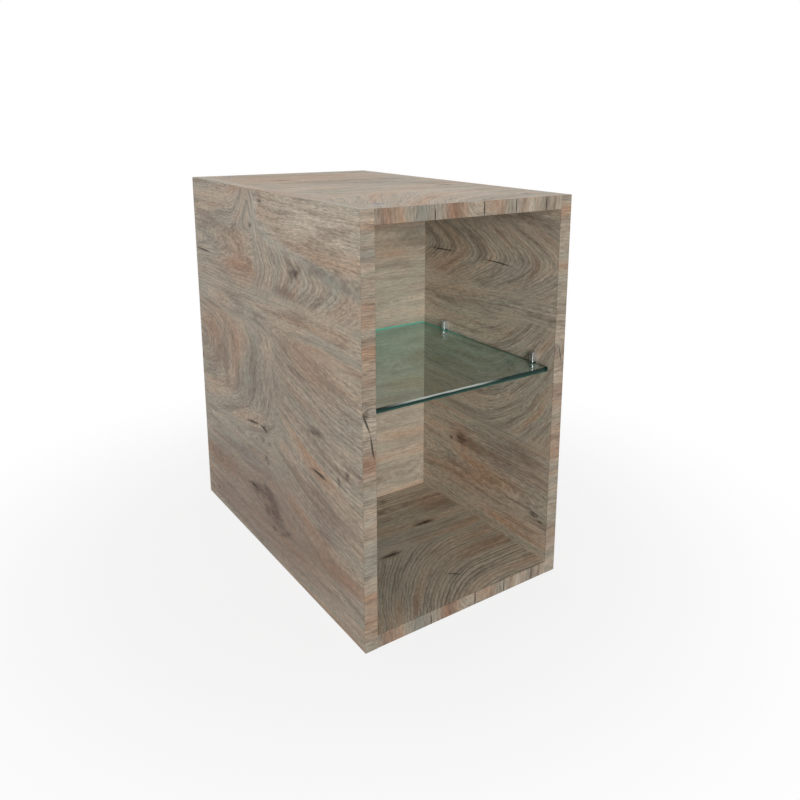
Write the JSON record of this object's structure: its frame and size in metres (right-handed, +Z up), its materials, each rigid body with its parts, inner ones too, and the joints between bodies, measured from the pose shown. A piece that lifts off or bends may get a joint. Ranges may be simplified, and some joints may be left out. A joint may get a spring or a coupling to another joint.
{
  "type": "shelving unit",
  "caption": "Open box-shaped shelving unit of wood-grain faced boards, with a back panel set well forward and a glass shelf held in chrome screw clips.",
  "frame": {"origin": "middle of the footprint, on the floor", "axes": "+Z up, -Y towards the open front, +X to the right seen from the front"},
  "size_m": [0.282, 0.46, 0.48],
  "materials": {
    "faced_board": "oak-grain melamine",
    "edging": "end-grain printed strip",
    "shelf_glass": "clear, polished",
    "clip_chrome": "polished plating",
    "soft_pad": "translucent, soft",
    "screw_steel": "zinc plated",
    "nylon": "natural",
    "cam_zinc": "die-cast, dull",
    "dowel_beech": "turned"
  },
  "bodies": {
    "carcass": {"left_side_panel": "faced_board", "right_side_panel": "faced_board", "top_panel": "faced_board", "bottom_panel": "faced_board", "back_panel": "faced_board", "left_side_front_edging": "edging", "left_side_rear_edging": "edging", "left_side_top_edging": "edging", "left_side_bottom_edging": "edging", "right_side_front_edging": "edging", "right_side_rear_edging": "edging", "right_side_top_edging": "edging", "right_side_bottom_edging": "edging", "top_panel_front_edging": "edging", "top_panel_rear_edging": "edging", "bottom_panel_front_edging": "edging", "bottom_panel_rear_edging": "edging", "front_left_clip": "clip_chrome", "rear_left_clip": "clip_chrome", "front_right_clip": "clip_chrome", "rear_right_clip": "clip_chrome", "front_left_clip_pad": "soft_pad", "rear_left_clip_pad": "soft_pad", "front_right_clip_pad": "soft_pad", "rear_right_clip_pad": "soft_pad", "cam_bolts": "screw_steel", "panel_dowels": "dowel_beech", "back_panel_dowels": "dowel_beech"},
    "glass_shelf": {"glass_shelf": "shelf_glass"},
    "front_left_screw": {"front_left_clamp_screw": "screw_steel", "front_left_clamp_tip": "nylon"},
    "rear_left_screw": {"rear_left_clamp_screw": "screw_steel", "rear_left_clamp_tip": "nylon"},
    "front_right_screw": {"front_right_clamp_screw": "screw_steel", "front_right_clamp_tip": "nylon"},
    "rear_right_screw": {"rear_right_clamp_screw": "screw_steel", "rear_right_clamp_tip": "nylon"},
    "top_front_left_cam_lock": {"top_front_left_cam": "cam_zinc"},
    "top_front_right_cam_lock": {"top_front_right_cam": "cam_zinc"},
    "top_rear_left_cam_lock": {"top_rear_left_cam": "cam_zinc"},
    "top_rear_right_cam_lock": {"top_rear_right_cam": "cam_zinc"},
    "bottom_front_left_cam_lock": {"bottom_front_left_cam": "cam_zinc"},
    "bottom_front_right_cam_lock": {"bottom_front_right_cam": "cam_zinc"},
    "bottom_rear_left_cam_lock": {"bottom_rear_left_cam": "cam_zinc"},
    "bottom_rear_right_cam_lock": {"bottom_rear_right_cam": "cam_zinc"}
  },
  "joints": [
    {"name": "glass_shelf_slide", "type": "slide", "parent": "carcass", "child": "glass_shelf", "axis": [0, -1, 0], "range_m": [0, 0.27]},
    {"name": "front_left_screw_turn", "type": "hinge", "parent": "carcass", "child": "front_left_screw", "pos_m": [-0.12, -0.198, 0.279], "axis": [0, 0, 1], "range_deg": [0, 720]},
    {"name": "rear_left_screw_turn", "type": "hinge", "parent": "carcass", "child": "rear_left_screw", "pos_m": [-0.12, -0.018, 0.279], "axis": [0, 0, 1], "range_deg": [0, 720]},
    {"name": "front_right_screw_turn", "type": "hinge", "parent": "carcass", "child": "front_right_screw", "pos_m": [0.12, -0.198, 0.279], "axis": [0, 0, 1], "range_deg": [0, 720]},
    {"name": "rear_right_screw_turn", "type": "hinge", "parent": "carcass", "child": "rear_right_screw", "pos_m": [0.12, -0.018, 0.279], "axis": [0, 0, 1], "range_deg": [0, 720]},
    {"name": "top_front_left_cam_turn", "type": "hinge", "parent": "carcass", "child": "top_front_left_cam_lock", "pos_m": [-0.101, -0.196, 0.472], "axis": [0, 0, 1], "range_deg": [0, 180]},
    {"name": "top_front_right_cam_turn", "type": "hinge", "parent": "carcass", "child": "top_front_right_cam_lock", "pos_m": [0.101, -0.196, 0.472], "axis": [0, 0, 1], "range_deg": [0, 180]},
    {"name": "top_rear_left_cam_turn", "type": "hinge", "parent": "carcass", "child": "top_rear_left_cam_lock", "pos_m": [-0.101, 0.196, 0.472], "axis": [0, 0, 1], "range_deg": [0, 180]},
    {"name": "top_rear_right_cam_turn", "type": "hinge", "parent": "carcass", "child": "top_rear_right_cam_lock", "pos_m": [0.101, 0.196, 0.472], "axis": [0, 0, 1], "range_deg": [0, 180]},
    {"name": "bottom_front_left_cam_turn", "type": "hinge", "parent": "carcass", "child": "bottom_front_left_cam_lock", "pos_m": [-0.101, -0.196, 0.008], "axis": [0, 0, -1], "range_deg": [0, 180]},
    {"name": "bottom_front_right_cam_turn", "type": "hinge", "parent": "carcass", "child": "bottom_front_right_cam_lock", "pos_m": [0.101, -0.196, 0.008], "axis": [0, 0, -1], "range_deg": [0, 180]},
    {"name": "bottom_rear_left_cam_turn", "type": "hinge", "parent": "carcass", "child": "bottom_rear_left_cam_lock", "pos_m": [-0.101, 0.196, 0.008], "axis": [0, 0, -1], "range_deg": [0, 180]},
    {"name": "bottom_rear_right_cam_turn", "type": "hinge", "parent": "carcass", "child": "bottom_rear_right_cam_lock", "pos_m": [0.101, 0.196, 0.008], "axis": [0, 0, -1], "range_deg": [0, 180]}
  ]
}
